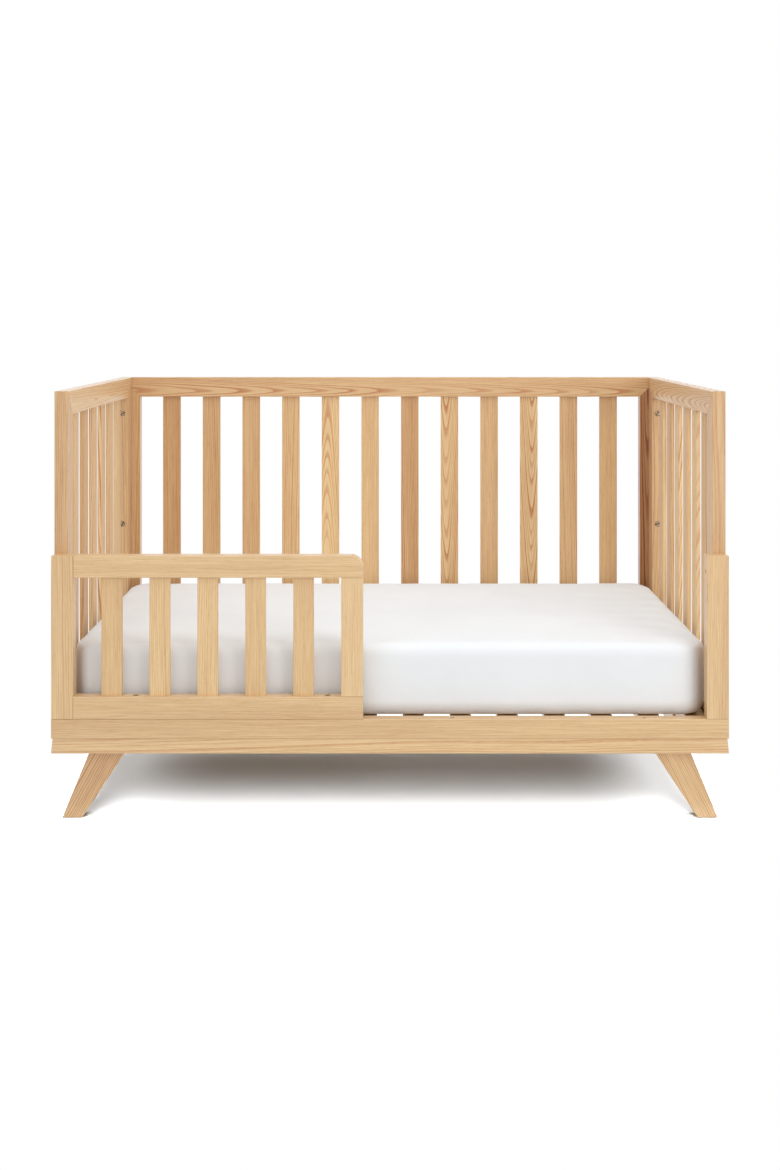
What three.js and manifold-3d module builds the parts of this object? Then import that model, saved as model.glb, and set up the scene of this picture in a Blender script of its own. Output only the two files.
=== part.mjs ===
// A wooden baby crib set up as a toddler bed: a slatted back and two slatted sides, a low front rail
// with a short guard at its left end, a mitred base frame on four splayed legs, a slatted mattress
// support that can be set at three heights, and a mattress.
// Millimetres, +Z up, the front towards -Y, left and right as seen from the front. The origin is on
// the floor under the middle of the crib.

import * as THREE from 'three';
import { mergeVertices } from 'three/addons/utils/BufferGeometryUtils.js';
import Module from 'manifold-3d';

const wasm = await Module();
wasm.setup();

// Driving sizes. The inside is the standard full-size crib, which the standard mattress fills.
const INSIDE_LENGTH = 1330;
const INSIDE_WIDTH = 710;
const HEIGHT = 885;
const STOCK = 28; // thickness of every frame board
const LEG_HEIGHT = 146;
const BASE_HEIGHT = 30;

const HALF_LENGTH = INSIDE_LENGTH / 2 + STOCK;
const HALF_WIDTH = INSIDE_WIDTH / 2 + STOCK;
const BASE_TOP = LEG_HEIGHT + BASE_HEIGHT;

// Fits
const SEAM = 0.15; // each board stops this far short of a joint, which leaves a 0.3 mm joint line
const SLIP = 0.3; // room round a slat's end, a bolt or the mattress
const EASE = 1.2; // radius of the eased edges
const EASE_STEPS = 2;
const ROUND_SIDES = 16; // sides of a drilled hole or a bolt
const CURVE_STEPS = 6; // steps in a rounded corner

// Back and side panels
const RAIL_WIDTH = 50;
const SLAT_THICKNESS = 9.5;
const SLAT_TENON = 12; // how far a slat goes into each rail
const BACK_SLATS = { count: 12, width: 45 };
const SIDE_SLATS = { count: 6, width: 45 };

// Front of the toddler bed
const FRONT_RAIL_HEIGHT = 40;
const POST_WIDTH = 45;
const POST_TOP = 550;
const GUARD_END = -55; // the free end of the guard, along X
const GUARD_RAIL_WIDTH = 45;
const GUARD_BOTTOM_WIDTH = 46;
const GUARD_CORNER = 25; // radius of the guard's top corner
const GUARD_SLATS = { count: 5, width: 42 };
const GUARD_SLAT_THICKNESS = 12;

// Base frame and legs
const BASE_BOARD_WIDTH = 80;
const BASE_BEVEL = 2.5; // the outer face leans in by this much at its top
const LEG_SETBACK = 41;
const LEG_THICKNESS = 32;
const LEG_EASE = 2;
const LEG_TOP = { inner: 542.5, outer: 619.5 };
const LEG_FOOT = { inner: 638, outer: 680 };

// Mattress support and mattress
const SUPPORT_CLEARANCE = 5; // from the support to the panels at front and back
const SUPPORT_SLATS = { count: 14, width: 44, thickness: 10, pitch: 98.3 };
const SUPPORT_BAR = { width: 28, height: 20 };
const SUPPORT_LAP = 1; // depth of the slats' seat in the bars
const SUPPORT_HEIGHTS = [0, 121, 242];
const MATTRESS = { length: 1317, width: 692, thickness: 152, corner: 48, edge: 26 };

// Fasteners and their holes
const BOLT = { radius: 3, headRadius: 6, headHeight: 3.5, socketWidth: 5, socketDepth: 2.2 };
const BOLT_HOLE = BOLT.radius + SLIP;
const COUNTERBORE = { radius: 7, depth: 4.2 };
const INSERT_HOLE = { radius: 4, depth: 26 };
const PEG_HOLE = { radius: 4, depth: 15 };
const SIDE_BOLT_HEIGHTS = [235, 515, 795];
const GUARD_BOLT_X = [-522, -128];
const GUARD_PEG_HEIGHTS = [239, 515];
const SUPPORT_HOLE_INSET = 10; // from the end of a side panel to its row of support holes

const OAK = '#dbb88b';
const OAK_LIGHT = '#e0c298';
const OAK_DARK = '#cfa877';
const LOOKS = {
  frame: { color: OAK, roughness: 0.5, metalness: 0 },
  slat: { color: OAK_LIGHT, roughness: 0.5, metalness: 0 },
  base: { color: OAK_DARK, roughness: 0.5, metalness: 0 },
  sheet: { color: '#f3f2f1', roughness: 0.9, metalness: 0 },
  steel: { color: '#a8a49c', roughness: 0.35, metalness: 1 },
};

// ---- Solids ----

function toSolid(geometry) {
  geometry.deleteAttribute('normal');
  geometry.deleteAttribute('uv');
  const merged = mergeVertices(geometry, 1e-4);
  const mesh = new wasm.Mesh({
    numProp: 3,
    vertProperties: Float32Array.from(merged.attributes.position.array),
    triVerts: Uint32Array.from(merged.index.array),
  });
  return new wasm.Manifold(mesh);
}

function toGeometry(solid) {
  const mesh = solid.getMesh();
  const geometry = new THREE.BufferGeometry();
  geometry.setAttribute('position', new THREE.BufferAttribute(mesh.vertProperties, 3));
  geometry.setIndex(new THREE.BufferAttribute(mesh.triVerts, 1));
  return geometry;
}

// A named sub-part, placed by its own centre.
function piece(name, solid, look) {
  const geometry = toGeometry(solid);
  geometry.computeBoundingBox();
  const centre = geometry.boundingBox.getCenter(new THREE.Vector3());
  geometry.translate(-centre.x, -centre.y, -centre.z);
  geometry.computeVertexNormals();
  const mesh = new THREE.Mesh(geometry, new THREE.MeshStandardMaterial(LOOKS[look]));
  mesh.name = name;
  mesh.position.copy(centre);
  return mesh;
}

function roundedRectangle(width, height, radius) {
  const x = width / 2;
  const y = height / 2;
  const shape = new THREE.Shape();
  shape.moveTo(x, radius - y);
  shape.lineTo(x, y - radius);
  shape.absarc(x - radius, y - radius, radius, 0, Math.PI / 2);
  shape.lineTo(radius - x, y);
  shape.absarc(radius - x, y - radius, radius, Math.PI / 2, Math.PI);
  shape.lineTo(-x, radius - y);
  shape.absarc(radius - x, radius - y, radius, Math.PI, Math.PI * 1.5);
  shape.lineTo(x - radius, -y);
  shape.absarc(x - radius, radius - y, radius, Math.PI * 1.5, Math.PI * 2);
  return shape;
}

function box(low, high) {
  const [x, y, z] = high.map((value, axis) => value - low[axis]);
  const geometry = new THREE.BoxGeometry(x, y, z);
  geometry.translate(low[0] + x / 2, low[1] + y / 2, low[2] + z / 2);
  return toSolid(geometry);
}

// A board between two corners, its grain along one axis and its four long edges eased.
function board(low, high, along) {
  const [x, y, z] = high.map((value, axis) => value - low[axis]);
  const [width, depth, length] = { x: [z, y, x], y: [x, z, y], z: [x, y, z] }[along];
  const geometry = new THREE.ExtrudeGeometry(roundedRectangle(width, depth, EASE), {
    depth: length,
    bevelEnabled: false,
    curveSegments: EASE_STEPS,
  });
  geometry.translate(0, 0, -length / 2);
  if (along === 'x') geometry.rotateY(Math.PI / 2);
  if (along === 'y') geometry.rotateX(-Math.PI / 2);
  geometry.translate(low[0] + x / 2, low[1] + y / 2, low[2] + z / 2);
  return toSolid(geometry);
}

// A board sawn to an outline in X and Z, from front to back, with the edges of both faces eased.
function sawnBoard(outline, front, back, ease) {
  const geometry = new THREE.ExtrudeGeometry(outline, {
    depth: back - front - 2 * ease,
    bevelThickness: ease,
    bevelSize: ease,
    bevelOffset: -ease,
    bevelSegments: EASE_STEPS,
    curveSegments: CURVE_STEPS,
  });
  geometry.rotateX(Math.PI / 2);
  geometry.translate(0, back - ease, 0);
  return toSolid(geometry);
}

// A drill: a cylinder that starts at a point on a face and goes in along a direction.
function drill(start, direction, radius, depth) {
  const overshoot = 1;
  const length = depth + overshoot;
  const geometry = new THREE.CylinderGeometry(radius, radius, length, ROUND_SIDES);
  geometry.translate(0, length / 2 - overshoot, 0);
  const way = new THREE.Vector3(...direction);
  geometry.applyQuaternion(new THREE.Quaternion().setFromUnitVectors(new THREE.Vector3(0, 1, 0), way));
  geometry.translate(...start);
  return toSolid(geometry);
}

// A counterbored bolt hole.
function boltHole(start, direction, depth) {
  const bore = drill(start, direction, BOLT_HOLE, depth);
  return bore.add(drill(start, direction, COUNTERBORE.radius, COUNTERBORE.depth));
}

function without(solid, cutters) {
  return cutters.reduce((left, cutter) => left.subtract(cutter), solid);
}

// Saws off what lies past a slanting plane, which leaves half the joint line.
function sawnPast(solid, point, normal) {
  const reach = 4 * HALF_LENGTH;
  const geometry = new THREE.BoxGeometry(reach, reach, reach);
  geometry.translate(0, 0, reach / 2 - SEAM);
  const way = new THREE.Vector3(...normal).normalize();
  geometry.applyQuaternion(new THREE.Quaternion().setFromUnitVectors(new THREE.Vector3(0, 0, 1), way));
  geometry.translate(...point);
  return solid.subtract(toSolid(geometry));
}

// The starts of equally spaced slats in a gap.
function slatStarts(from, to, { count, width }) {
  const gap = (to - from - count * width) / (count + 1);
  return Array.from({ length: count }, (_, i) => from + gap + i * (width + gap));
}

// ---- A framed panel of upright slats ----
// It stands in its own frame: along X, centred on Y = 0, with its inner face towards +Y. The ends are
// named at -X and at +X. The top corners are mitred, and the bottom rail is held between the stiles.

function framedPanel({ name, length, slats, ends, cuts = [[], []] }) {
  const group = new THREE.Group();
  const half = length / 2;
  const inner = half - RAIL_WIDTH;
  const face = STOCK / 2 - SEAM;
  const under = HEIGHT - RAIL_WIDTH;
  const bottom = BASE_TOP + SEAM;
  const bottomRailTop = BASE_TOP + RAIL_WIDTH;
  const starts = slatStarts(-inner, inner, slats);
  const slatAt = (x, room, low, high) => [
    [x - room, -SLAT_THICKNESS / 2 - room, low - room],
    [x + slats.width + room, SLAT_THICKNESS / 2 + room, high + room],
  ];
  const slatLow = bottomRailTop - SLAT_TENON;
  const slatHigh = under + SLAT_TENON;
  const mortises = starts.map((x) => box(...slatAt(x, SLIP, slatLow, slatHigh)));

  let topRail = board([-half, -face, under], [half, face, HEIGHT], 'x');
  [-1, 1].forEach((end, i) => {
    const corner = [end * inner, 0, under];
    const [low, high] = [end * inner, end * half].sort((a, b) => a - b);
    let stile = board([low, -face, bottom], [high, face, HEIGHT], 'z');
    stile = sawnPast(stile, corner, [-end, 0, 1]);
    topRail = sawnPast(topRail, corner, [end, 0, -1]);
    group.add(piece(`${name}_${ends[i]}_stile`, without(stile, cuts[i]), 'frame'));
  });
  group.add(piece(`${name}_top_rail`, without(topRail, mortises), 'frame'));

  const railEnd = inner - 2 * SEAM;
  const bottomRail = board([-railEnd, -face, bottom], [railEnd, face, bottomRailTop], 'x');
  group.add(piece(`${name}_bottom_rail`, without(bottomRail, mortises), 'frame'));

  starts.forEach((x, i) => {
    const slat = board(...slatAt(x, 0, slatLow, slatHigh), 'z');
    group.add(piece(`${name}_slat_${i + 1}`, slat, 'slat'));
  });
  return group;
}

function backPanel() {
  const outer = HALF_LENGTH - STOCK / 2;
  const face = -STOCK / 2;
  const shank = 22; // how far a side bolt goes into the back stile
  const bores = [-outer, outer].map((x) =>
    SIDE_BOLT_HEIGHTS.map((z) => drill([x, face, z], [0, 1, 0], BOLT_HOLE, shank)),
  );
  const panel = framedPanel({
    name: 'back_panel',
    length: 2 * HALF_LENGTH,
    slats: BACK_SLATS,
    ends: ['left', 'right'],
    cuts: bores,
  });
  panel.position.y = HALF_WIDTH - STOCK / 2;
  return panel;
}

// The side panel's stiles have holes for the mattress support in their inner faces. The rear stile
// also has the three bolt holes that join the side to the back.
function sidePanel(side) {
  const right = side > 0;
  const half = INSIDE_WIDTH / 2 - SEAM;
  const supportHoles = (end) =>
    SUPPORT_HEIGHTS.map((lift) => {
      const z = BASE_TOP + SUPPORT_BAR.height / 2 + lift;
      const start = [end * (half - SUPPORT_HOLE_INSET), STOCK / 2, z];
      return drill(start, [0, -1, 0], PEG_HOLE.radius, PEG_HOLE.depth);
    });
  const rear = right ? 1 : -1;
  const bolts = SIDE_BOLT_HEIGHTS.map((z) =>
    boltHole([rear * (half - RAIL_WIDTH), 0, z], [rear, 0, 0], RAIL_WIDTH + 1),
  );
  const cuts = [-1, 1].map((end) => supportHoles(end).concat(end === rear ? bolts : []));
  const panel = framedPanel({
    name: right ? 'right_side' : 'left_side',
    length: 2 * half,
    slats: SIDE_SLATS,
    ends: right ? ['front', 'rear'] : ['rear', 'front'],
    cuts,
  });
  panel.rotation.z = (side * Math.PI) / 2;
  panel.position.x = side * (HALF_LENGTH - STOCK / 2);
  return panel;
}

// ---- Front rail, posts and guard ----

function front() {
  const group = new THREE.Group();
  const face = -HALF_WIDTH;
  const back = face + STOCK - SEAM;
  const middle = face + STOCK / 2;
  const railTop = BASE_TOP + FRONT_RAIL_HEIGHT;
  const postInner = HALF_LENGTH - POST_WIDTH;
  const guardBottomTop = railTop + GUARD_BOTTOM_WIDTH;
  const guardUnder = POST_TOP - GUARD_RAIL_WIDTH;

  const guardBoltDepth = GUARD_BOTTOM_WIDTH + INSERT_HOLE.depth;
  const guardBoltHoles = GUARD_BOLT_X.map((x) =>
    boltHole([x, middle, guardBottomTop], [0, 0, -1], guardBoltDepth),
  );
  const freeInserts = GUARD_BOLT_X.map((x) =>
    drill([-x, middle, railTop], [0, 0, -1], INSERT_HOLE.radius, INSERT_HOLE.depth),
  );
  const frontRail = board(
    [-HALF_LENGTH, face, BASE_TOP + SEAM],
    [HALF_LENGTH, back, railTop - SEAM],
    'x',
  );
  group.add(piece('front_rail', without(frontRail, guardBoltHoles.concat(freeInserts)), 'frame'));

  for (const [name, side] of [['left', -1], ['right', 1]]) {
    const [low, high] = [side * postInner, side * HALF_LENGTH].sort((a, b) => a - b);
    const post = board([low, face, railTop + SEAM], [high, back, POST_TOP], 'z');
    const pegHoles = GUARD_PEG_HEIGHTS.map((z) =>
      drill([side * postInner, middle, z], [side, 0, 0], PEG_HOLE.radius, PEG_HOLE.depth),
    );
    group.add(piece(`front_${name}_post`, without(post, pegHoles), 'frame'));
  }

  const guardStart = -postInner + 2 * SEAM;
  const stileStart = GUARD_END - GUARD_RAIL_WIDTH;
  const slatFront = middle - GUARD_SLAT_THICKNESS / 2;
  const slatBack = middle + GUARD_SLAT_THICKNESS / 2;
  const slatLow = guardBottomTop - SLAT_TENON;
  const slatHigh = guardUnder + SLAT_TENON;
  const starts = slatStarts(-postInner, stileStart, GUARD_SLATS);
  const mortises = starts.map((x) =>
    box(
      [x - SLIP, slatFront - SLIP, slatLow - SLIP],
      [x + GUARD_SLATS.width + SLIP, slatBack + SLIP, slatHigh + SLIP],
    ),
  );

  const outline = new THREE.Shape();
  outline.moveTo(guardStart, guardUnder);
  outline.lineTo(GUARD_END, guardUnder);
  outline.lineTo(GUARD_END, POST_TOP - GUARD_CORNER);
  outline.absarc(GUARD_END - GUARD_CORNER, POST_TOP - GUARD_CORNER, GUARD_CORNER, 0, Math.PI / 2);
  outline.lineTo(guardStart, POST_TOP);
  const topRail = sawnBoard(outline, face, back, EASE);
  group.add(piece('guard_top_rail', without(topRail, mortises), 'frame'));

  const bottomRail = board(
    [guardStart, face, railTop + SEAM],
    [GUARD_END, back, guardBottomTop - SEAM],
    'x',
  );
  group.add(
    piece('guard_bottom_rail', without(bottomRail, guardBoltHoles.concat(mortises)), 'frame'),
  );

  const endStile = board(
    [stileStart, face, guardBottomTop + SEAM],
    [GUARD_END, back, guardUnder - 2 * SEAM],
    'z',
  );
  group.add(piece('guard_end_stile', endStile, 'frame'));

  starts.forEach((x, i) => {
    const slat = board([x, slatFront, slatLow], [x + GUARD_SLATS.width, slatBack, slatHigh], 'z');
    group.add(piece(`guard_slat_${i + 1}`, slat, 'slat'));
  });

  GUARD_BOLT_X.forEach((x, i) => {
    const bolt = piece(`guard_bolt_${i + 1}`, guardBolt(), 'steel');
    bolt.position.add(new THREE.Vector3(x, middle, guardBottomTop - COUNTERBORE.depth + SLIP));
    group.add(bolt);
  });
  return group;
}

// A round-headed bolt with a hexagon socket. It stands on Z = 0 under its head, shank down.
function guardBolt() {
  const shank = GUARD_BOTTOM_WIDTH + INSERT_HOLE.depth - COUNTERBORE.depth - 2;
  const crown = 1; // the head's edge is rounded by this much
  const profile = [
    [0, -shank],
    [BOLT.radius, -shank],
    [BOLT.radius, 0],
    [BOLT.headRadius, 0],
    [BOLT.headRadius, BOLT.headHeight - crown],
    [BOLT.headRadius - crown, BOLT.headHeight],
    [0, BOLT.headHeight],
  ].map(([x, y]) => new THREE.Vector2(x, y));
  const body = new THREE.LatheGeometry(profile, ROUND_SIDES);
  body.rotateX(Math.PI / 2);
  const cornerRadius = BOLT.socketWidth / Math.sqrt(3);
  const socket = new THREE.CylinderGeometry(cornerRadius, cornerRadius, 2 * BOLT.socketDepth, 6);
  socket.rotateX(Math.PI / 2);
  socket.translate(0, 0, BOLT.headHeight);
  return toSolid(body).subtract(toSolid(socket));
}

// ---- Base frame and legs ----
// Four flat boards with mitred corners. Their outer faces lean in towards the top.

function base() {
  const group = new THREE.Group();
  const section = new THREE.Shape();
  section.moveTo(0, 0);
  section.lineTo(BASE_BOARD_WIDTH, 0);
  section.lineTo(BASE_BOARD_WIDTH, BASE_HEIGHT - SEAM);
  section.lineTo(BASE_BEVEL, BASE_HEIGHT - SEAM);
  const alongX = new THREE.Matrix4().makeBasis(
    new THREE.Vector3(0, 1, 0),
    new THREE.Vector3(0, 0, 1),
    new THREE.Vector3(1, 0, 0),
  );
  ['front', 'right', 'back', 'left'].forEach((name, quarter) => {
    const long = quarter % 2 === 0;
    const half = long ? HALF_LENGTH : HALF_WIDTH;
    const out = long ? HALF_WIDTH : HALF_LENGTH;
    const geometry = new THREE.ExtrudeGeometry(section, { depth: 2 * half, bevelEnabled: false });
    geometry.applyMatrix4(alongX);
    geometry.translate(-half, -out, LEG_HEIGHT);
    let solid = toSolid(geometry);
    for (const end of [-1, 1]) solid = sawnPast(solid, [end * half, -out, 0], [end, 1, 0]);
    const turned = new THREE.Group();
    turned.rotation.z = (quarter * Math.PI) / 2;
    turned.add(piece(`base_${name}_board`, solid, 'base'));
    group.add(turned);
  });

  for (const [depthName, facing] of [['front', -1], ['back', 1]]) {
    for (const [sideName, side] of [['left', -1], ['right', 1]]) {
      const top = LEG_HEIGHT - 2 * SEAM;
      const corners = [
        [LEG_FOOT.inner, 0],
        [LEG_FOOT.outer, 0],
        [LEG_TOP.outer, top],
        [LEG_TOP.inner, top],
      ];
      const outline = new THREE.Shape(corners.map(([x, z]) => new THREE.Vector2(side * x, z)));
      const outer = facing * (HALF_WIDTH - LEG_SETBACK);
      const inner = facing * (HALF_WIDTH - LEG_SETBACK - LEG_THICKNESS);
      const leg = sawnBoard(outline, Math.min(outer, inner), Math.max(outer, inner), LEG_EASE);
      group.add(piece(`leg_${depthName}_${sideName}`, leg, 'base'));
    }
  }
  return group;
}

// ---- Mattress support and mattress ----
// Slats from front to back, glued into shallow seats on a frame of bars. It stands on the base frame.

function mattressSupport() {
  const low = BASE_TOP + SLIP;
  const barTop = BASE_TOP + SUPPORT_BAR.height;
  const deck = barTop + SUPPORT_SLATS.thickness;
  const halfWidth = INSIDE_WIDTH / 2 - SUPPORT_CLEARANCE;
  const halfSlat = SUPPORT_SLATS.width / 2;
  const lastSlat = ((SUPPORT_SLATS.count - 1) / 2) * SUPPORT_SLATS.pitch;
  const halfLength = lastSlat + halfSlat;
  const bars = [
    box([-halfLength, -halfWidth, low], [halfLength, SUPPORT_BAR.width - halfWidth, barTop]),
    box([-halfLength, halfWidth - SUPPORT_BAR.width, low], [halfLength, halfWidth, barTop]),
    box([-halfLength, -SUPPORT_BAR.width / 2, low], [halfLength, SUPPORT_BAR.width / 2, barTop]),
    box([-halfLength, -halfWidth, low], [halfSlat - lastSlat, halfWidth, barTop]),
    box([lastSlat - halfSlat, -halfWidth, low], [halfLength, halfWidth, barTop]),
  ];
  const slats = Array.from({ length: SUPPORT_SLATS.count }, (_, i) => {
    const x = i * SUPPORT_SLATS.pitch - lastSlat;
    return box([x - halfSlat, -halfWidth, barTop - SUPPORT_LAP], [x + halfSlat, halfWidth, deck]);
  });
  const solid = [...bars, ...slats].reduce((joined, part) => joined.add(part));
  return piece('mattress_support', solid, 'slat');
}

function mattress() {
  const { length, width, thickness, corner, edge } = MATTRESS;
  const geometry = new THREE.ExtrudeGeometry(roundedRectangle(length, width, corner), {
    depth: thickness - 2 * edge,
    bevelThickness: edge,
    bevelSize: edge,
    bevelOffset: -edge,
    bevelSegments: 5,
    curveSegments: CURVE_STEPS,
  });
  const bottom = BASE_TOP + SUPPORT_BAR.height + SUPPORT_SLATS.thickness + SLIP;
  geometry.translate(0, 0, bottom + edge);
  return piece('mattress', toSolid(geometry), 'sheet');
}

const crib = new THREE.Group();
crib.add(backPanel(), sidePanel(-1), sidePanel(1), front(), base(), mattressSupport(), mattress());

export default crib;
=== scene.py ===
"""The looks of a wooden baby crib set up as a toddler bed: lacquered oak boards, nickel-plated
bolts, and a foam mattress in a white fitted sheet. Metres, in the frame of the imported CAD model:
+Z up, the front towards -Y, left and right as seen from the front."""

import math
import random

import bmesh
import bpy
from mathutils import Matrix, Vector, noise


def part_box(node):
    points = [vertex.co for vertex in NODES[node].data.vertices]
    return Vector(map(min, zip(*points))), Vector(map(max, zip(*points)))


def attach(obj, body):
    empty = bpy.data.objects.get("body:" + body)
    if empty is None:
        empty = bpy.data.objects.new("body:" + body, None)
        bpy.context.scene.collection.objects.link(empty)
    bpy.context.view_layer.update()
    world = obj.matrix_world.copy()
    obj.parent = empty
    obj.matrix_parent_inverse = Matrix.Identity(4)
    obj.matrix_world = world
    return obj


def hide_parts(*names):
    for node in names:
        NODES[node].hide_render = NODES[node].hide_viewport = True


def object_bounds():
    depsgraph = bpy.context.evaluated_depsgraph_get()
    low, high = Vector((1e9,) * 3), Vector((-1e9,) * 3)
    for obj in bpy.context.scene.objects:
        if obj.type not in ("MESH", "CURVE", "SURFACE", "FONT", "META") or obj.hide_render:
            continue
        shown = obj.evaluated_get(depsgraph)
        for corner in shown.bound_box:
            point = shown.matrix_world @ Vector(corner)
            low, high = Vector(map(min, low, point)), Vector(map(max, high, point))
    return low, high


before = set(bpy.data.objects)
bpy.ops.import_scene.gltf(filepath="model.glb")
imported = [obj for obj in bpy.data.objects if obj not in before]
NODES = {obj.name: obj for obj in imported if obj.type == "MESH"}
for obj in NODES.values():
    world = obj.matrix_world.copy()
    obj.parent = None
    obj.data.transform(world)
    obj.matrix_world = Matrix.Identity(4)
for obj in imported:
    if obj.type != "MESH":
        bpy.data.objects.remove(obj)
cad_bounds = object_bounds()
UP = Vector((0, 0, 1))
MM = 0.001
WHITE = (1, 1, 1, 1)

bpy.context.scene.view_settings.view_transform = "Standard"


# ---- Helpers ----

def srgb(text):
    """The linear colour of a hex code, with alpha 1."""
    parts = [int(text[i:i + 2], 16) / 255 for i in (0, 2, 4)]
    return tuple(c / 12.92 if c < 0.04045 else ((c + 0.055) / 1.055) ** 2.4 for c in parts) + (1,)


class Graph:
    """A shader node tree that is filled by naming each node and what goes into it."""

    def __init__(self, tree):
        self.tree = tree

    def add(self, kind, inputs=None, **settings):
        node = self.tree.nodes.new("ShaderNode" + kind)
        for key, value in settings.items():
            setattr(node, key, value)
        for key, value in (inputs or {}).items():
            self.feed(node.inputs[key], value)
        return node

    def feed(self, socket, value):
        if isinstance(value, bpy.types.NodeSocket):
            self.tree.links.new(value, socket)
        else:
            socket.default_value = value

    def math(self, operation, a, b=0.0, clamp=False):
        return self.add("Math", {0: a, 1: b}, operation=operation, use_clamp=clamp).outputs[0]

    def scaled(self, vector, scale):
        return self.add("VectorMath", {0: vector, 1: scale}, operation="MULTIPLY").outputs[0]

    def plus(self, vector, other):
        return self.add("VectorMath", {0: vector, 1: other}, operation="ADD").outputs[0]

    def mix(self, factor, a, b, blend="MIX"):
        inputs = {0: factor, 6: a, 7: b}
        return self.add("Mix", inputs, data_type="RGBA", blend_type=blend).outputs[2]

    def noise(self, vector, scale, detail, roughness=0.5):
        inputs = {"Vector": vector, "Scale": scale, "Detail": detail, "Roughness": roughness}
        return self.add("TexNoise", inputs)

    def ranged(self, value, low, high, to_low=0.0, to_high=1.0):
        inputs = {0: value, 1: low, 2: high, 3: to_low, 4: to_high}
        return self.add("MapRange", inputs).outputs[0]

    def ramp(self, factor, stops):
        node = self.add("ValToRGB", {0: factor})
        elements = node.color_ramp.elements
        while len(elements) < len(stops):
            elements.new(0.5)
        for element, (at, level) in zip(elements, stops):
            element.position = at
            element.color = (level, level, level, 1)
        return node.outputs[0]


def new_material(name, **shader):
    """A material and its graph, with constant values set on the shader's own sockets."""
    material = bpy.data.materials.new(name)
    material.use_nodes = True
    graph = Graph(material.node_tree)
    bsdf = material.node_tree.nodes["Principled BSDF"]
    for key, value in shader.items():
        bsdf.inputs[key.replace("_", " ")].default_value = value
    return material, graph, bsdf


def new_object(name, mesh):
    piece = bpy.data.objects.new(name, mesh)
    bpy.context.scene.collection.objects.link(piece)
    return piece


def apply_modifiers(piece):
    graph = bpy.context.evaluated_depsgraph_get()
    mesh = bpy.data.meshes.new_from_object(piece.evaluated_get(graph), depsgraph=graph)
    piece.modifiers.clear()
    piece.data = mesh


# ---- Oak ----

PALE = srgb("edcf9c")
DEEP = srgb("c49562")
DARK = srgb("96602f")
RING_TINT = (0.72, 0.44, 0.26, 1)
FIBRE_TINT = (0.84, 0.72, 0.58, 1)
PORE_TINT = (0.6, 0.42, 0.3, 1)

# The wood's irregularities: (noise scale across the grain, its share of that along the grain,
# detail, roughness).
WOOD_NOISES = {
    "wander": (7, 0.16, 2, 0.5),
    "ripple": (60, 0.1, 2, 0.5),
    "broad": (26, 0.05, 1, 0.5),
    "streak": (420, 0.03, 3, 0.6),
    "fibre": (700, 0.018, 3, 0.6),
    "dash": (1300, 0.04, 1, 0.5),
}
WANDER_REACH = 18 * MM
RIPPLE_REACH = 1.6 * MM

# Rings: the wood of a year's first growth is open, as (share of the year, openness), and the
# years differ in width.
EARLY_WOOD = [(0.0, 0.0), (0.08, 1.0), (0.3, 0.7), (0.48, 0.08), (1.0, 0.0)]
UNEVEN_SCALE = 90
UNEVEN_YEARS = 1.6

# What a noise or a ring turns into: (its low, its high, low result, high result).
YEAR_STRENGTH = (0, 1, 0.35, 1.0)
PORE_EDGE = (0.56, 0.68, 0, 1)
PORES_BY_RING = (0, 0.8, 0.25, 1.0)
BROAD_TONE = (0.3, 0.7, -0.14, 0.14)
STREAK_TONE = (0.32, 0.68, -0.18, 0.18)
FIBRE_TONE = (0.75, 0.25, 0, 0.5)
FIBRE_ROUGHNESS = (0.25, 0.75, 0.4, 0.52)
FIBRE_HEIGHT = (0.2, 0.8, 0.7, 1.0)
PORE_TONE = 0.5
PORE_ROUGHNESS = 0.2
PORE_DEPTH = 0.7
RING_DEPTH = 0.25


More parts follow.
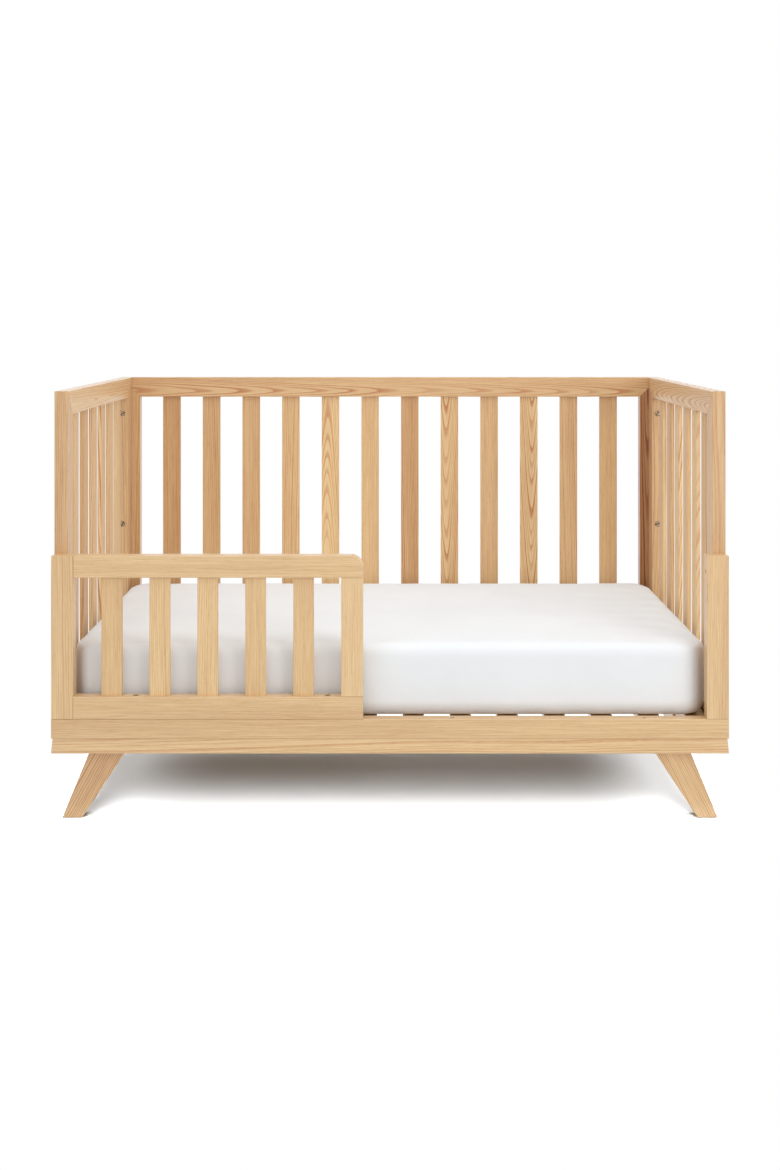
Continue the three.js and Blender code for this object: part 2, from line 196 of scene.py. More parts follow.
def oak_group():
    """Ring-porous wood. Its Vector has the grain along Z and the pith on the Z axis, in metres."""
    tree = bpy.data.node_groups.new("oak", "ShaderNodeTree")
    sockets = [
        ("Vector", "INPUT", "Vector"), ("Ring", "INPUT", "Float"), ("Slope", "INPUT", "Float"),
        ("Depth", "INPUT", "Float"), ("Contrast", "INPUT", "Float"),
        ("Color", "OUTPUT", "Color"), ("Roughness", "OUTPUT", "Float"),
        ("Height", "OUTPUT", "Float"),
    ]
    for name, way, kind in sockets:
        tree.interface.new_socket(name=name, in_out=way, socket_type="NodeSocket" + kind)
    g = Graph(tree)
    given = tree.nodes.new("NodeGroupInput").outputs
    place = given["Vector"]

    def varied(name):
        scale, along, detail, roughness = WOOD_NOISES[name]
        return g.noise(g.scaled(place, (1, 1, along)), scale, detail, roughness).outputs

    def sway(name, reach):
        centred = g.plus(varied(name)["Color"], (-0.5, -0.5, -0.5))
        return g.scaled(centred, (reach, reach, 0))

    # The trunk isn't straight: slow wander, then small ripples.
    bent = g.plus(place, sway("wander", WANDER_REACH))
    bent = g.plus(bent, sway("ripple", RIPPLE_REACH))
    across = g.scaled(bent, (1, 1, 0))
    radius = g.add("VectorMath", {0: across}, operation="LENGTH").outputs["Value"]
    length = g.add("SeparateXYZ", {0: place}).outputs["Z"]
    radius = g.math("ADD", radius, g.math("MULTIPLY", length, given["Slope"]))

    # Years are counted outwards; part is how far into its year a place is.
    inputs = {"W": radius, "Scale": UNEVEN_SCALE, "Detail": 1}
    uneven = g.add("TexNoise", inputs, noise_dimensions="1D").outputs[0]
    years = g.math("DIVIDE", radius, given["Ring"])
    years = g.math("ADD", years, g.math("MULTIPLY", uneven, UNEVEN_YEARS))
    part = g.math("FRACT", years)
    year = g.add("TexWhiteNoise", {"W": g.math("FLOOR", years)}, noise_dimensions="1D")
    strength = g.ranged(year.outputs["Value"], *YEAR_STRENGTH)
    early = g.math("MULTIPLY", g.ramp(part, EARLY_WOOD), strength)

    fibre = varied("fibre")[0]
    pores = g.ranged(varied("dash")[0], *PORE_EDGE)
    pores = g.math("MULTIPLY", pores, g.ranged(early, *PORES_BY_RING))

    # The tone goes from pale at 0 through deep at 1 to dark at 2.
    depth = g.math("ADD", given["Depth"], g.ranged(varied("broad")[0], *BROAD_TONE))
    depth = g.math("ADD", depth, g.ranged(varied("streak")[0], *STREAK_TONE))
    colour = g.mix(g.math("MAXIMUM", depth, 0.0, clamp=True), PALE, DEEP)
    colour = g.mix(g.math("SUBTRACT", depth, 1.0, clamp=True), colour, DARK)

    # A contrast above 1 tints the lines a second time.
    lines = g.math("MULTIPLY", early, given["Contrast"], clamp=True)
    colour = g.mix(lines, colour, RING_TINT, "MULTIPLY")
    more = g.math("MULTIPLY", early, g.math("SUBTRACT", given["Contrast"], 1.0), clamp=True)
    colour = g.mix(more, colour, RING_TINT, "MULTIPLY")
    colour = g.mix(g.ranged(fibre, *FIBRE_TONE), colour, FIBRE_TINT, "MULTIPLY")
    colour = g.mix(g.math("MULTIPLY", pores, PORE_TONE), colour, PORE_TINT, "MULTIPLY")

    rough = g.ranged(fibre, *FIBRE_ROUGHNESS)
    rough = g.math("ADD", rough, g.math("MULTIPLY", pores, PORE_ROUGHNESS))
    height = g.ranged(fibre, *FIBRE_HEIGHT)
    height = g.math("SUBTRACT", height, g.math("MULTIPLY", pores, PORE_DEPTH))
    height = g.math("SUBTRACT", height, g.math("MULTIPLY", early, RING_DEPTH))
    out = tree.nodes.new("NodeGroupOutput").inputs
    g.feed(out["Color"], colour)
    g.feed(out["Roughness"], rough)
    g.feed(out["Height"], height)
    return tree


OAK = oak_group()
RING_WIDTH = 2.9 * MM
RING_WIDTHS = (0.85, 1.2)
PLACE_IN_TRUNK = (3, 30)
LINE_STRENGTH = 1.35
GRAIN_BUMP = 0.35
GRAIN_BUMP_DEPTH = 0.3 * MM
LACQUER = 0.9
THIN_LACQUER = 0.3
LACQUER_ROUGHNESS = 0.26

# How a board was sawn: the angle of the pith from straight behind the face, in degrees, its
# distance, and how far each ring moves outwards along the board, in metres per metre.
CUTS = {
    "flat": {"angle": (32, 52), "distance": (0.008, 0.013), "slope": (0.045, 0.065)},
    "long": {"angle": (25, 45), "distance": (0.009, 0.014), "slope": (0.012, 0.022)},
    "rift": {"angle": (40, 60), "distance": (0.07, 0.12), "slope": (0.008, 0.02)},
    "fine": {"angle": (64, 86), "distance": (0.08, 0.14), "slope": (0.002, 0.008)},
}


def oak(name, middle, grain, face, look):
    """The material of one board: where it lay in the tree, and how deep its tone is."""
    cut, depth, contrast = look
    rng = random.Random(name)
    way = CUTS[cut]
    side = grain.cross(face).normalized()
    angle = math.radians(rng.uniform(*way["angle"])) * rng.choice((-1, 1))
    towards = (face * -math.cos(angle) + side * math.sin(angle)).normalized()
    pith = middle + towards * rng.uniform(*way["distance"])
    turn = grain.rotation_difference(UP).to_matrix()
    place = Vector((0, 0, rng.uniform(*PLACE_IN_TRUNK))) - turn @ pith

    lacquer = {
        "Coat_Weight": THIN_LACQUER if "_slat_" in name else LACQUER,
        "Coat_Roughness": LACQUER_ROUGHNESS,
    }
    material, g, bsdf = new_material(f"oak_{name}", **lacquer)
    position = g.add("TexCoord").outputs["Object"]
    mapped = g.add("Mapping", {"Vector": position, "Location": place, "Rotation": turn.to_euler()})
    inputs = {
        "Vector": mapped.outputs[0],
        "Ring": RING_WIDTH * rng.uniform(*RING_WIDTHS),
        "Slope": rng.uniform(*way["slope"]) * rng.choice((-1, 1)),
        "Depth": depth,
        "Contrast": LINE_STRENGTH * contrast,
    }
    wood = g.tree.nodes.new("ShaderNodeGroup")
    wood.node_tree = OAK
    for key, value in inputs.items():
        g.feed(wood.inputs[key], value)
    relief = {"Height": wood.outputs["Height"], "Strength": GRAIN_BUMP, "Distance": GRAIN_BUMP_DEPTH}
    bump = g.add("Bump", relief)
    g.feed(bsdf.inputs["Base Color"], wood.outputs["Color"])
    g.feed(bsdf.inputs["Roughness"], wood.outputs["Roughness"])
    g.feed(bsdf.inputs["Normal"], bump.outputs[0])
    return material


# Each board's cut, depth of tone and strength of line. A board that isn't here draws its look,
# seeded by its name.
BOARD_LOOKS = {
    "leg_front_left": ("rift", 0.46, 1.0),
    # The back's right stile is the darkest board partly because of its own dark wood with flame
    # figure and partly from painted shade: its depth of tone also holds the shade that falls on it.
    "back_panel_right_stile": ("long", 1.2, 1.9),
    "back_panel_left_stile": ("rift", 0.6, 0.6),
    "back_panel_top_rail": ("long", 0.52, 0.8),
    "back_panel_slat_1": ("rift", 0.7, 0.6),
    "back_panel_slat_2": ("rift", 0.62, 0.6),
    "back_panel_slat_3": ("rift", 0.5, 0.9),
    "back_panel_slat_4": ("rift", 0.34, 0.9),
    "back_panel_slat_5": ("flat", 0.12, 0.65),
    "back_panel_slat_6": ("fine", 0.27, 0.5),
    "back_panel_slat_7": ("rift", 0.62, 0.9),
    "back_panel_slat_8": ("flat", 0.35, 0.95),
    "back_panel_slat_9": ("rift", 0.52, 0.6),
    "back_panel_slat_10": ("flat", 0.22, 1.0),
    "back_panel_slat_11": ("rift", 0.36, 0.8),
    "back_panel_slat_12": ("fine", 0.45, 0.6),
    "right_side_top_rail": ("flat", 0.2, 1.0),
    "right_side_slat_1": ("rift", 0.55, 0.6),
    "right_side_slat_2": ("flat", 0.2, 0.5),
    "right_side_slat_3": ("rift", 0.35, 0.5),
    "right_side_slat_4": ("flat", 0.05, 0.8),
    "right_side_slat_5": ("rift", 0.55, 0.6),
    "right_side_slat_6": ("fine", 0.2, 0.5),
    "right_side_rear_stile": ("fine", 0.62, 0.5),
    "left_side_top_rail": ("long", 0.15, 0.9),
    "left_side_slat_1": ("fine", 0.25, 0.5),
    "left_side_slat_2": ("rift", 0.4, 0.6),
    "left_side_slat_3": ("long", 0.15, 1.0),
    "left_side_slat_4": ("long", 0.15, 1.0),
    "left_side_slat_5": ("fine", 0.6, 0.6),
    "left_side_slat_6": ("rift", 0.25, 0.5),
    "left_side_rear_stile": ("fine", 0.6, 0.5),
    "left_side_front_stile": ("rift", 0.56, 0.6),
    "right_side_front_stile": ("fine", 0.66, 0.4),
    "front_left_post": ("rift", 0.32, 0.5),
    "front_right_post": ("rift", 0.32, 0.35),
    "front_rail": ("fine", 0.42, 0.3),
    "base_front_board": ("rift", 0.22, 0.5),
    "guard_top_rail": ("fine", 0.22, 0.28),
    "guard_bottom_rail": ("fine", 0.3, 0.3),
    "guard_end_stile": ("fine", 0.1, 0.25),
    "guard_slat_1": ("fine", 0.38, 0.3),
    "guard_slat_2": ("rift", 0.2, 0.3),
    "guard_slat_3": ("rift", 0.05, 0.35),
    "guard_slat_4": ("fine", 0.22, 0.3),
    "guard_slat_5": ("fine", 0.28, 0.28),
}
LEG_CONTRAST = 1.0
LEG_DEPTHS = (0.15, 0.3)
OTHER_CONTRAST = 0.6
OTHER_DEPTHS = (0.25, 0.6)

NOT_WOOD = ("mattress", "guard_bolt_1", "guard_bolt_2")

# How far a leg leans outwards, as a share of its height.
LEG_LEAN = 0.54

# Edges: a slat's are nearly sharp, so that the gaps between the side slats stay narrow.
CAD_BEVEL = 0.8 * MM
SLAT_BEVEL = 0.2 * MM
BEVEL_SEGMENTS = 2
SHARP_EDGE = math.radians(50)
FLAT_FACE = math.radians(0.5)
SAME_POINT = 0.01 * MM
FLAT_WEIGHT = 60


def board_look(name):
    if name in BOARD_LOOKS:
        return BOARD_LOOKS[name]
    rng = random.Random("look " + name)
    if name.startswith("leg"):
        return ("rift", rng.uniform(*LEG_DEPTHS), LEG_CONTRAST)
    return (rng.choice(("rift", "fine")), rng.uniform(*OTHER_DEPTHS), OTHER_CONTRAST)


def grain_of(name, low, high):
    """Which way the grain runs, and the normal of the board's broad face."""
    if name.startswith("leg"):
        side = 1 if low.x > 0 else -1
        return Vector((-side * LEG_LEAN, 0, 1)).normalized(), Vector((0, -1, 0))
    if name == "mattress_support":
        return Vector((0, 1, 0)), UP
    size = high - low
    axes = sorted(range(3), key=lambda axis: -size[axis])
    grain, face = Vector((0, 0, 0)), Vector((0, 0, 0))
    grain[axes[0]] = 1
    face[axes[2]] = -1
    return grain, face


def finish_boards():
    for name, board in NODES.items():
        if name in NOT_WOOD:
            continue
        low, high = (Vector(corner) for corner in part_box(name))
        grain, face = grain_of(name, low, high)
        material = oak(name, (low + high) / 2, grain, face, board_look(name))
        for slot in board.material_slots:
            slot.material = material
        ease_edges(board, SLAT_BEVEL if "_side_slat_" in name else CAD_BEVEL)


def ease_edges(piece, width):
    """Takes the sharpness off a piece's edges, and gives its flat faces flat normals."""
    weld = piece.modifiers.new("weld", "WELD")
    weld.merge_threshold = SAME_POINT
    flat = piece.modifiers.new("flat", "DECIMATE")
    flat.decimate_type = "DISSOLVE"
    flat.angle_limit = FLAT_FACE
    bevel = piece.modifiers.new("bevel", "BEVEL")
    bevel.width = width
    bevel.segments = BEVEL_SEGMENTS
    bevel.angle_limit = SHARP_EDGE
    normals = piece.modifiers.new("normals", "WEIGHTED_NORMAL")
    normals.weight = FLAT_WEIGHT
    piece.data.shade_smooth()


# ---- Steel ----

CLOUD_SCALE = 900
CLOUD_EDGE = (0.3, 0.7)
CLOUD_ROUGHNESS = (0.24, 0.4)
SCRATCH_SCALE = 5000
SCRATCH_STRETCH = (1, 0.06, 1)
SCRATCH_ROUGHNESS = 0.08


def steel(name, tone, dull):
    """Plated steel that goes cloudily from its tone to a duller one, with fine scratches."""
    material, g, bsdf = new_material(name, Metallic=1.0, Base_Color=srgb(tone))
    position = g.add("TexCoord").outputs["Object"]
    cloudy = g.noise(position, CLOUD_SCALE, 3).outputs[0]
    scratch = g.noise(g.scaled(position, SCRATCH_STRETCH), SCRATCH_SCALE, 2).outputs[0]
    rough = g.ranged(cloudy, *CLOUD_EDGE, *CLOUD_ROUGHNESS)
    rough = g.math("ADD", rough, g.math("MULTIPLY", scratch, SCRATCH_ROUGHNESS))
    bump = g.add("Bump", {"Height": scratch, "Strength": 0.12, "Distance": 0.1 * MM})
    colour = g.mix(g.ranged(cloudy, *CLOUD_EDGE), srgb(tone), srgb(dull))
    g.feed(bsdf.inputs["Base Color"], colour)
    g.feed(bsdf.inputs["Roughness"], rough)
    g.feed(bsdf.inputs["Normal"], bump.outputs[0])
    return material


STEEL = steel("nickel_plate", "c6b199", "98806a")
# The slot's faces get a much darker steel than the head: painted shade in the slot.
SLOT_PAINTED_SHADE = steel("slot_painted_shade", "4a3f35", "2e2620")


def lathe(profile, sides=32):
    """A bmesh turned about Z from (radius, height) pairs that start and end on the axis."""
    mesh = bmesh.new()
    rings = []
    for radius, height in profile:
        if radius == 0:
            rings.append([mesh.verts.new((0, 0, height))])
            continue
        angles = [2 * math.pi * i / sides for i in range(sides)]
        rings.append([
            mesh.verts.new((radius * math.cos(a), radius * math.sin(a), height)) for a in angles
        ])
    for lower, upper in zip(rings, rings[1:]):
        for i in range(sides):
            j = (i + 1) % sides
            corners = [lower[i % len(lower)], lower[j % len(lower)],
                       upper[j % len(upper)], upper[i % len(upper)]]
            unique = list(dict.fromkeys(corners))
            mesh.faces.new(unique)
    bmesh.ops.recalc_face_normals(mesh, faces=mesh.faces)
    return mesh


def mesh_of(name, built):
    mesh = bpy.data.meshes.new(name)
    built.to_mesh(mesh)
    built.free()
    return mesh


# ---- Bolts that join the sides to the back ----

# Where the CAD model has its counterbores: their heights, and how deep their floors are.
SIDE_BOLT_HEIGHTS = (0.235, 0.515, 0.795)
COUNTERBORE = 4.2 * MM

BOLT_LENGTH = 60 * MM
BOLT_RADIUS = 3 * MM
BOLT_HEAD_RADIUS = 5.6 * MM
BOLT_HEAD_HEIGHT = 2.6 * MM
HEAD_ROUNDING = 0.6 * MM
HEAD_LOWER_EDGE = 0.2 * MM
TIP_INSET = 0.4 * MM
TIP_LENGTH = 0.6 * MM
SLOT_WIDTH = 2.4 * MM
SLOT_DEPTH = 1.2 * MM

# Each slot stopped at another angle when its bolt was tightened, in degrees.
SLOT_TURN = -50
SLOT_TURN_STEP = 35

SIDE_BOLT_BEVEL = 0.15 * MM
GUARD_BOLT_BEVEL = 0.25 * MM


def slotted_bolt(name, shank):
    """A slotted flat-headed bolt on the Z axis. Its head's underside is at Z = 0, shank down."""
    edge = HEAD_ROUNDING
    profile = [
        (0, -shank), (BOLT_RADIUS - TIP_INSET, -shank), (BOLT_RADIUS, -shank + TIP_LENGTH),
        (BOLT_RADIUS, 0),
        (BOLT_HEAD_RADIUS - HEAD_LOWER_EDGE, 0), (BOLT_HEAD_RADIUS, HEAD_LOWER_EDGE),
        (BOLT_HEAD_RADIUS, BOLT_HEAD_HEIGHT - edge),
        (BOLT_HEAD_RADIUS - 0.3 * edge, BOLT_HEAD_HEIGHT - 0.3 * edge),
        (BOLT_HEAD_RADIUS - edge, BOLT_HEAD_HEIGHT), (0, BOLT_HEAD_HEIGHT),
    ]
    bolt = new_object(name, mesh_of(name, lathe(profile)))
    cutter = bmesh.new()
    bmesh.ops.create_cube(cutter, size=1)
    size = (4 * BOLT_HEAD_RADIUS, SLOT_WIDTH, 2 * SLOT_DEPTH)
    bmesh.ops.scale(cutter, vec=size, verts=cutter.verts)
    bmesh.ops.translate(cutter, vec=(0, 0, BOLT_HEAD_HEIGHT), verts=cutter.verts)
    tool = new_object(name + "_slot", mesh_of(name + "_slot", cutter))
    bolt.data.materials.append(STEEL)
    # The cutter's dark steel goes onto the slot's faces as painted shade.
    tool.data.materials.append(SLOT_PAINTED_SHADE)
    cut = bolt.modifiers.new("slot", "BOOLEAN")
    cut.object = tool
    cut.operation = "DIFFERENCE"
    cut.solver = "EXACT"
    cut.material_mode = "TRANSFER"
    apply_modifiers(bolt)
    bpy.data.objects.remove(tool)
    return bolt


def side_bolts():
    """Three a side, through the rear stile into the back panel. CAD drilled their counterbores."""
    for side, word in ((-1, "left"), (1, "right")):
        low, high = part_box(f"{word}_side_rear_stile")
        x = (low[0] + high[0]) / 2
        for number, z in enumerate(SIDE_BOLT_HEIGHTS, 1):
            bolt = slotted_bolt(f"{word}_side_bolt_{number}", BOLT_LENGTH)
            slant = math.radians(SLOT_TURN + SLOT_TURN_STEP * number * side)
            facing = Matrix.Rotation(math.radians(90), 4, "X") @ Matrix.Rotation(slant, 4, "Z")
            seat = Matrix.Translation((x, low[1] + COUNTERBORE, z))
            bolt.data.transform(seat @ facing)
            ease_edges(bolt, SIDE_BOLT_BEVEL)
            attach(bolt, "crib_frame")


def guard_bolts():
    for name in ("guard_bolt_1", "guard_bolt_2"):
        for slot in NODES[name].material_slots:
            slot.material = STEEL
        ease_edges(NODES[name], GUARD_BOLT_BEVEL)


# ---- Mattress and sheet ----

# The foam core
CORE_INSET = 5 * MM
VOXEL = 11 * MM
SWELLING_PRESSURE = 4
SWELLING_FRAMES = 20
MOST_SWELLING = 4 * MM
CORE_GAP = 3.5 * MM
CORE_REACH = Vector((0.5, -3.5, 2)) * MM
TOP_SQUARENESS = 1.5
HEM_LIFT = 1.3 * MM
HEM_WIDTH = 40 * MM
HEM_HEIGHT = 60 * MM

# The sheet
SHEET_GAP = 1.0 * MM
LEAST_SHEET_GAP = 0.4 * MM
SHEET_THICKNESS = 0.7 * MM
TUCK = 95 * MM
UNDERSIDE_NORMAL = -0.6
FOLDED_NORMAL = -0.5

# Its long soft folds, on the top towards both ends
FOLD_START = 300 * MM
FOLD_GROWTH = 270 * MM
FOLD_PITCH = 80 * MM
FOLD_SLANT = 0.12
FOLD_WOBBLE = 35 * MM
RIGHT_FOLD = 1.6 * MM
LEFT_FOLD = 0.8 * MM

# Its upright gathers, round the corners
CORNER_REACH = 110 * MM
CORNER_STRENGTH = 1.6
GATHERS = 16
GATHER = 1.1 * MM

# Its unevenness all over: (height, noise scale)
RUMPLES = ((0.5 * MM, 18), (0.22 * MM, 55))

# Cotton and ticking: colours, scales of their textures, and what a noise turns into
COTTON_LIGHT = srgb("eef1f4")
COTTON_DARK = srgb("eaedf0")
COTTON_ROUGHNESS = (0.2, 0.8, 0.82, 0.94)
WEAVE_SCALE = 85
WEAVE_HEIGHT = 0.3
SLUB_COLOUR = srgb("dcdad6")
SLUB_SCALE = 420
SLUB_STRETCH = (1, 0.1, 1)
SLUB_TONE = (0.35, 0.75, 0, 0.12)
SLOW_SCALE = 7
SLOW_TONE = (0.3, 0.7)
TICKING_LIGHT = srgb("ecebe6")
TICKING_DARK = srgb("d3d1c9")
TICKING_ROUGHNESS = (0.2, 0.8, 0.8, 0.95)
RIB_SCALE = 55
RIB_TONE = 0.35
PILL_SCALE = 600


def cotton():
    """White woven cotton: threads both ways, slubs, and slow differences in tone."""
    material, g, bsdf = new_material("white_cotton", Sheen_Weight=0.25, Sheen_Roughness=0.5)
    position = g.add("TexCoord").outputs["Object"]
    thread = {"Vector": position, "Scale": WEAVE_SCALE, "Distortion": 0.6, "Detail": 1.0,
              "Detail Scale": 4.0}
    waves = [
        g.add("TexWave", thread, bands_direction=axis).outputs[1] for axis in ("X", "Y", "Z")
    ]
    weave = g.math("ADD", g.math("ADD", waves[0], waves[1]), waves[2])
    slub = g.noise(g.scaled(position, SLUB_STRETCH), SLUB_SCALE, 2).outputs[0]
    slow = g.noise(position, SLOW_SCALE, 2).outputs[0]
    colour = g.mix(g.ranged(slow, *SLOW_TONE), COTTON_LIGHT, COTTON_DARK)
    colour = g.mix(g.ranged(slub, *SLUB_TONE), colour, SLUB_COLOUR)
    height = g.math("ADD", g.math("MULTIPLY", weave, WEAVE_HEIGHT), slub)
    bump = g.add("Bump", {"Height": height, "Strength": 0.2, "Distance": 0.2 * MM})
    g.feed(bsdf.inputs["Base Color"], colour)
    g.feed(bsdf.inputs["Roughness"], g.ranged(slub, *COTTON_ROUGHNESS))
    g.feed(bsdf.inputs["Normal"], bump.outputs[0])
    return material


def ticking():
    """The mattress's own cover: off-white knit with fine ribs."""
    material, g, bsdf = new_material("mattress_ticking", Sheen_Weight=0.2)
    position = g.add("TexCoord").outputs["Object"]
    rib = {"Vector": position, "Scale": RIB_SCALE, "Distortion": 0.5}
    ribs = g.add("TexWave", rib, bands_direction="X").outputs[1]
    pills = g.noise(position, PILL_SCALE, 3).outputs[0]
    colour = g.mix(g.math("MULTIPLY", ribs, RIB_TONE), TICKING_LIGHT, TICKING_DARK)
    height = g.math("ADD", ribs, pills)
    bump = g.add("Bump", {"Height": height, "Strength": 0.3, "Distance": 0.5 * MM})
    g.feed(bsdf.inputs["Base Color"], colour)
    g.feed(bsdf.inputs["Roughness"], g.ranged(pills, *TICKING_ROUGHNESS))
    g.feed(bsdf.inputs["Normal"], bump.outputs[0])
    return material


def swell(piece):
    """Cloth pressure from inside, with each point's movement capped."""
    start = [v.co.copy() for v in piece.data.vertices]
    cloth = piece.modifiers.new("cloth", "CLOTH")
    cloth.settings.use_pressure = True
    cloth.settings.uniform_pressure_force = SWELLING_PRESSURE
    cloth.settings.effector_weights.gravity = 0
    cloth.point_cache.frame_start = 1
    cloth.point_cache.frame_end = SWELLING_FRAMES
    scene = bpy.context.scene
    for at in range(1, SWELLING_FRAMES + 1):
        scene.frame_set(at)
    apply_modifiers(piece)
    scene.frame_set(1)
    for v, was in zip(piece.data.vertices, start):
        move = v.co - was
        if move.length > MOST_SWELLING:
            v.co = was + move.normalized() * MOST_SWELLING


def fill_box(piece, middle, reach):
    """Stretches a piece along each axis so that it just fills a box about the middle."""
    for axis in range(3):
        along = [v.co[axis] for v in piece.data.vertices]
        low, high = min(along), max(along)
        for v in piece.data.vertices:
            part = (v.co[axis] - low) / (high - low)
            v.co[axis] = middle[axis] + (2 * part - 1) * reach[axis]


def square_up(piece, middle):
    """Tightens the upper edges, which are firmer than the lower ones."""
    top = max(v.co.z for v in piece.data.vertices)
    for v in piece.data.vertices:
        part = (v.co.z - middle) / (top - middle)
        if part > 0:
            v.co.z = middle + (top - middle) * (1 - (1 - part) ** TOP_SQUARENESS)


def flatten_underside(piece, floor, half):
    """Levels the underside, but lets the sheet's elastic hem draw its edges up a little."""
    for v in piece.data.vertices:
        inward = min(half.x - abs(v.co.x), half.y - abs(v.co.y))
        near_side = max(0.0, 1 - inward / HEM_WIDTH)
        near_floor = max(0.0, 1 - (v.co.z - floor) / HEM_HEIGHT)
        v.co.z = max(v.co.z, floor) + HEM_LIFT * near_side * near_floor


def foam_core(low, middle, half):
    """The foam: the plain mattress made smaller, swelled, and stretched back over its box."""
    core = new_object("mattress_core", NODES["mattress"].data.copy())
    core.data.materials.clear()
    inset = Vector([(h - CORE_INSET) / h for h in half])
    for v in core.data.vertices:
        away = v.co - middle
        v.co = middle + Vector([a * i for a, i in zip(away, inset)])
    remesh = core.modifiers.new("even", "REMESH")
    remesh.mode = "VOXEL"
    remesh.voxel_size = VOXEL
    apply_modifiers(core)
    swell(core)

    fill_box(core, middle, half + CORE_REACH)
    square_up(core, middle.z)
    flatten_underside(core, low.z + CORE_GAP, half)
    rounding = core.modifiers.new("round", "SUBSURF")
    rounding.levels = rounding.render_levels = 1
    apply_modifiers(core)
    core.data.shade_smooth()
    core.data.materials.append(ticking())
    return core


def mattress():
    low, high = (Vector(corner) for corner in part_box("mattress"))
    middle, half = (low + high) / 2, (high - low) / 2
    core = foam_core(low, middle, half)
    sheet = fitted_sheet(core, middle, half)
    for piece in (core, sheet):
        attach(piece, "mattress")
        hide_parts("mattress")


def folds(place, normal, half):
    """How far the sheet stands out at a place: long soft folds on the top towards both ends, and
    short upright gathers round the corners."""
    from_start = abs(place.x) - (half.x - FOLD_START)
    growth = min(1.0, max(0.0, from_start / FOLD_GROWTH)) ** 1.5
    along = place.y + FOLD_SLANT * abs(place.x) + FOLD_WOBBLE * noise.noise(place * 4)
    wave = max(0.0, normal.z) ** 6 * growth * math.sin(along * 2 * math.pi / FOLD_PITCH)
    height = (RIGHT_FOLD if place.x > 0 else LEFT_FOLD) * wave

    past_x = abs(place.x) - (half.x - CORNER_REACH)
    past_y = abs(place.y) - (half.y - CORNER_REACH)
    corner_x = max(0.0, past_x) / CORNER_REACH
    corner_y = max(0.0, past_y) / CORNER_REACH
    near = min(1.0, corner_x * corner_y * CORNER_STRENGTH)
    turn = math.atan2(past_y, past_x)
    height += GATHER * (1 - abs(normal.z)) * near * math.sin(turn * GATHERS)
    return height + sum(size * noise.noise(place * scale) for size, scale in RUMPLES)


def fitted_sheet(core, middle, half):
    """The core's own surface, moved outwards, with the middle of the underside cut away."""
    built = bmesh.new()
    built.from_mesh(core.data)
    under = [
        f for f in built.faces
        if f.normal.z < UNDERSIDE_NORMAL
        and abs(f.calc_center_median().x) < half.x - TUCK
        and abs(f.calc_center_median().y) < half.y - TUCK
    ]
    bmesh.ops.delete(built, geom=under, context="FACES")
    built.normal_update()
    moves = []
    for v in built.verts:
        folded = v.normal.z > FOLDED_NORMAL
        out = SHEET_GAP + (folds(v.co - middle, v.normal, half) if folded else 0)
        moves.append(v.normal * max(out, LEAST_SHEET_GAP))
    for v, move in zip(built.verts, moves):
        v.co += move
    sheet = new_object("fitted_sheet", mesh_of("fitted_sheet", built))
    cloth = sheet.modifiers.new("cloth", "SOLIDIFY")
    cloth.thickness = SHEET_THICKNESS
    cloth.offset = 1
    sheet.data.materials.clear()
    sheet.data.materials.append(cotton())
    sheet.data.shade_smooth()
    return sheet


# ---- Studio ----
# The floor has lights of its own, from all four sides, so that it is white up to the crib.

FLOOR_REACH = 28
FLOOR_DROP = 0.4 * MM
# A grey darker than the white floor, only under the crib and a little past its outline: painted
# shade that deepens the shadow there.
FLOOR_PAINTED_SHADE_GREY = (0.33, 0.337, 0.342, 1)
GREY_SHADE_EDGE = (10 * MM, 40 * MM)
BACKDROP_RADIUS = 27
WORLD_STRENGTH = 0.68

# (name, heading and height in degrees, strength)
FLOOR_LIGHTS = (
    ("front", 0, 36, 14.1), ("right", 90, 42, 7.8),
    ("back", 180, 38, 10.9), ("left", 270, 40, 4.2),
)
FLOOR_LIGHT_SPREAD = 31

# (name, place, width in metres, power in watts, colour)
SOFTBOXES = (
    ("top_softbox", (0, -0.7, 3.4), 3.2, 40, (0.95, 0.98, 1.0)),
    ("key_softbox", (2.9, -3.6, 1.7), 1.7, 53, (1.0, 0.99, 0.98)),
    ("fill_softbox", (-3.0, -3.6, 1.5), 2.2, 15, (1.0, 0.99, 0.98)),
)
SOFTBOX_AIM = Vector((0, 0, 0.45))

CAMERA_PLACE = (0, -3.23, 1.031)
CAMERA_LENS = 42.86
CAMERA_SENSOR = 36
CAMERA_SHIFT = -0.226


def white_glow(g):
    return g.add("Emission", {"Color": WHITE, "Strength": 1.0}).outputs[0]


def floor_painted_shade():
    """Grey paint under the crib, darker than the white floor round it, as painted shade that deepens
    the crib's shadow there; it is lit, and past the crib's outline it is the same even white as the
    backdrop.
    """
    shade_paint, g, bsdf = new_material("floor_painted_shade", Roughness=0.9, Base_Color=FLOOR_PAINTED_SHADE_GREY)
    position = g.add("TexCoord").outputs["Object"]
    parts = g.add("SeparateXYZ", {0: position}).outputs
    past_end = g.math("SUBTRACT", g.math("ABSOLUTE", parts["X"]), cad_bounds[1][0])
    past_side = g.math("SUBTRACT", g.math("ABSOLUTE", parts["Y"]), cad_bounds[1][1])
    outside = g.ranged(g.math("MAXIMUM", past_end, past_side), *GREY_SHADE_EDGE)
    blend = g.add("MixShader", {0: outside, 1: bsdf.outputs[0], 2: white_glow(g)})
    g.feed(shade_paint.node_tree.nodes["Material Output"].inputs["Surface"], blend.outputs[0])
    return shade_paint


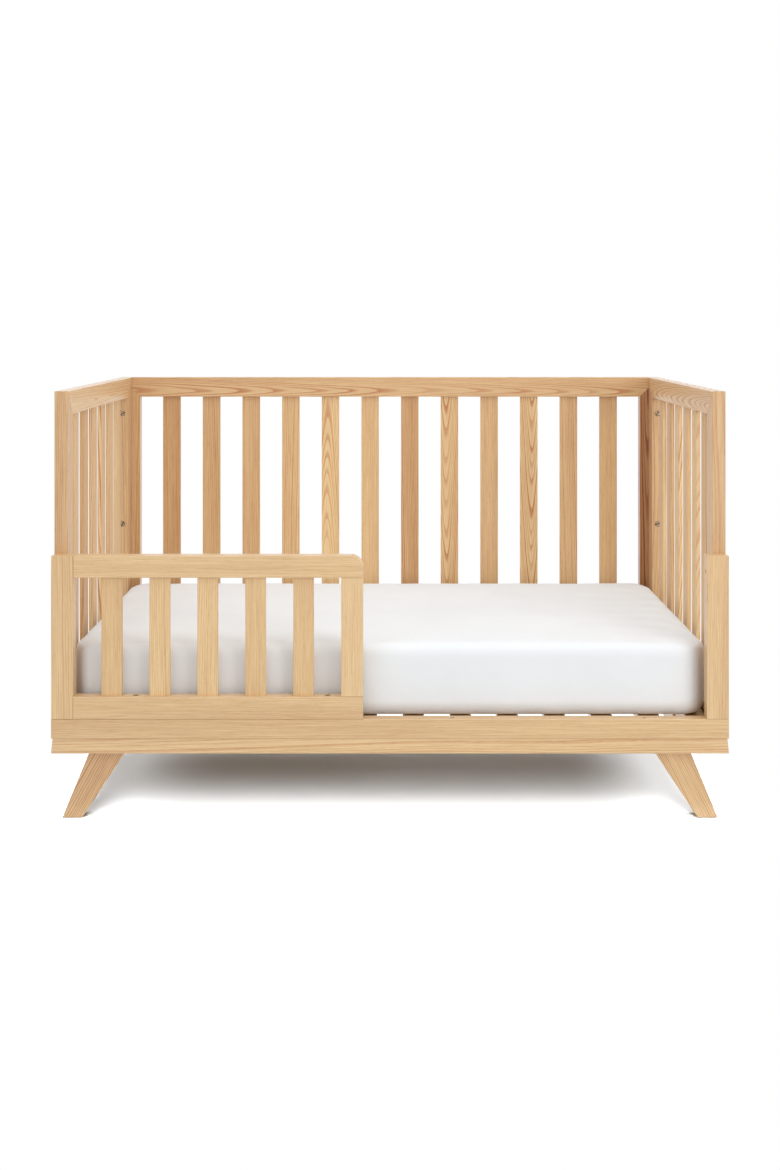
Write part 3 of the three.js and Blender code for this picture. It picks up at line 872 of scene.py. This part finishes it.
def floor_and_backdrop():
    floor_mesh = bmesh.new()
    bmesh.ops.create_grid(floor_mesh, x_segments=1, y_segments=1, size=FLOOR_REACH)
    floor = new_object("floor", mesh_of("floor", floor_mesh))
    floor.location.z = -FLOOR_DROP
    floor.data.materials.append(floor_painted_shade())
    floor.visible_diffuse = False

    dome_mesh = bmesh.new()
    bmesh.ops.create_uvsphere(dome_mesh, u_segments=48, v_segments=24, radius=BACKDROP_RADIUS)
    dome = new_object("backdrop", mesh_of("backdrop", dome_mesh))
    white, g, bsdf = new_material("backdrop_white")
    g.feed(white.node_tree.nodes["Material Output"].inputs["Surface"], white_glow(g))
    dome.data.materials.append(white)
    for ray in ("diffuse", "transmission", "volume_scatter", "shadow"):
        setattr(dome, f"visible_{ray}", False)
    return floor


def even_world():
    world = bpy.data.worlds.new("studio")
    bpy.context.scene.world = world
    world.use_nodes = True
    background = world.node_tree.nodes["Background"].inputs
    background["Color"].default_value = WHITE
    background["Strength"].default_value = WORLD_STRENGTH


def lights(floor):
    """Suns for the floor only, and softboxes for everything but the floor."""
    only_floor = bpy.data.collections.new("lit_floor")
    only_floor.objects.link(floor)
    no_floor = bpy.data.collections.new("lit_crib")
    no_floor.objects.link(floor)
    no_floor.collection_objects[0].light_linking.link_state = "EXCLUDE"

    for name, heading, height, strength in FLOOR_LIGHTS:
        sun = bpy.data.lights.new(f"floor_light_{name}", "SUN")
        sun.energy = strength
        sun.angle = math.radians(FLOOR_LIGHT_SPREAD)
        sun_object = new_object(sun.name, sun)
        tip = math.radians(90 - height)
        sun_object.rotation_euler = (tip, 0, math.radians(heading))
        sun_object.light_linking.receiver_collection = only_floor

    for name, place, size, power, colour in SOFTBOXES:
        lamp = bpy.data.lights.new(name, "AREA")
        lamp.size = size
        lamp.energy = power
        lamp.color = colour
        lamp_object = new_object(name, lamp)
        lamp_object.location = place
        aim = SOFTBOX_AIM - Vector(place)
        lamp_object.rotation_euler = aim.to_track_quat("-Z", "Y").to_euler()
        lamp_object.light_linking.receiver_collection = no_floor


def camera():
    data = bpy.data.cameras.new("camera")
    data.lens = CAMERA_LENS
    data.sensor_width = CAMERA_SENSOR
    data.shift_y = CAMERA_SHIFT
    view = new_object("camera", data)
    view.location = CAMERA_PLACE
    view.rotation_euler = (math.radians(90), 0, 0)
    bpy.context.scene.camera = view


camera()
stage_floor = floor_and_backdrop()
even_world()
lights(stage_floor)
finish_boards()
guard_bolts()
side_bolts()
mattress()
